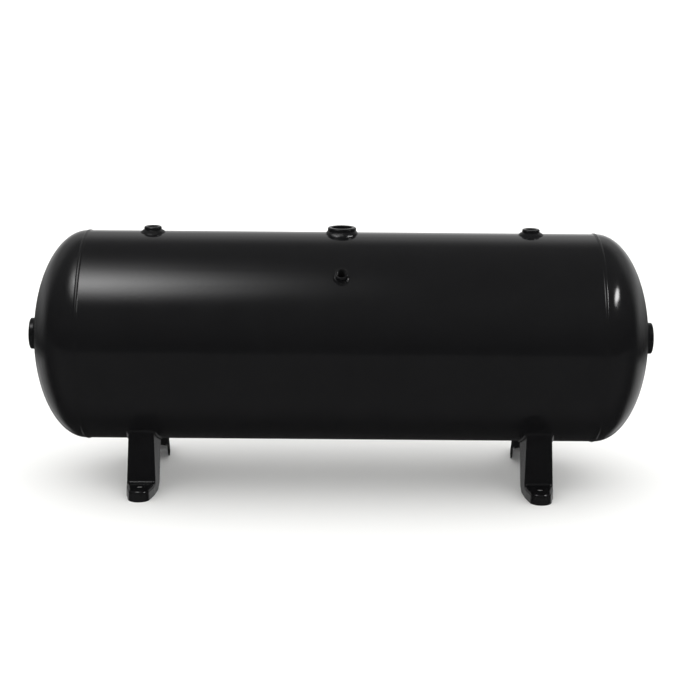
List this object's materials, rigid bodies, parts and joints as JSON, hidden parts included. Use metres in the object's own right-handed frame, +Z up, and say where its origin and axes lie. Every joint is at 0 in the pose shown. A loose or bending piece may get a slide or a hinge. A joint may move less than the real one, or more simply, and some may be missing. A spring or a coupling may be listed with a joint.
{
  "type": "horizontal pressure tank",
  "caption": "Horizontal steel air receiver with dished ends, welded threaded couplings and pressed bolt-down feet, coated gloss black.",
  "frame": {"origin": "on the floor, under the middle of the tank", "axes": "+X along the tank to its right end, -Y towards the front, +Z up"},
  "size_m": [1.8258, 0.614, 0.7471],
  "materials": {
    "tank_coat": "gloss black powder coat on rolled and dished steel plate",
    "weld_coat": "gloss black powder coat over a rippled weld",
    "port_coat": "gloss black powder coat on turned steel",
    "foot_coat": "gloss black powder coat on pressed steel"
  },
  "bodies": {
    "root": {"shell": "tank_coat", "left_head": "tank_coat", "right_head": "tank_coat", "left_girth_weld": "weld_coat", "right_girth_weld": "weld_coat", "long_seam_weld": "weld_coat", "top_left_port": "port_coat", "top_left_port_weld": "weld_coat", "top_centre_port": "port_coat", "top_centre_port_weld": "weld_coat", "top_right_port": "port_coat", "top_right_port_weld": "weld_coat", "front_port": "port_coat", "front_port_weld": "weld_coat", "left_end_port": "port_coat", "left_end_port_weld": "weld_coat", "right_end_port": "port_coat", "right_end_port_weld": "weld_coat", "front_left_foot": "foot_coat", "front_left_foot_weld": "weld_coat", "front_right_foot": "foot_coat", "front_right_foot_weld": "weld_coat", "rear_left_foot": "foot_coat", "rear_left_foot_weld": "weld_coat", "rear_right_foot": "foot_coat", "rear_right_foot_weld": "weld_coat"}
  },
  "joints": []
}
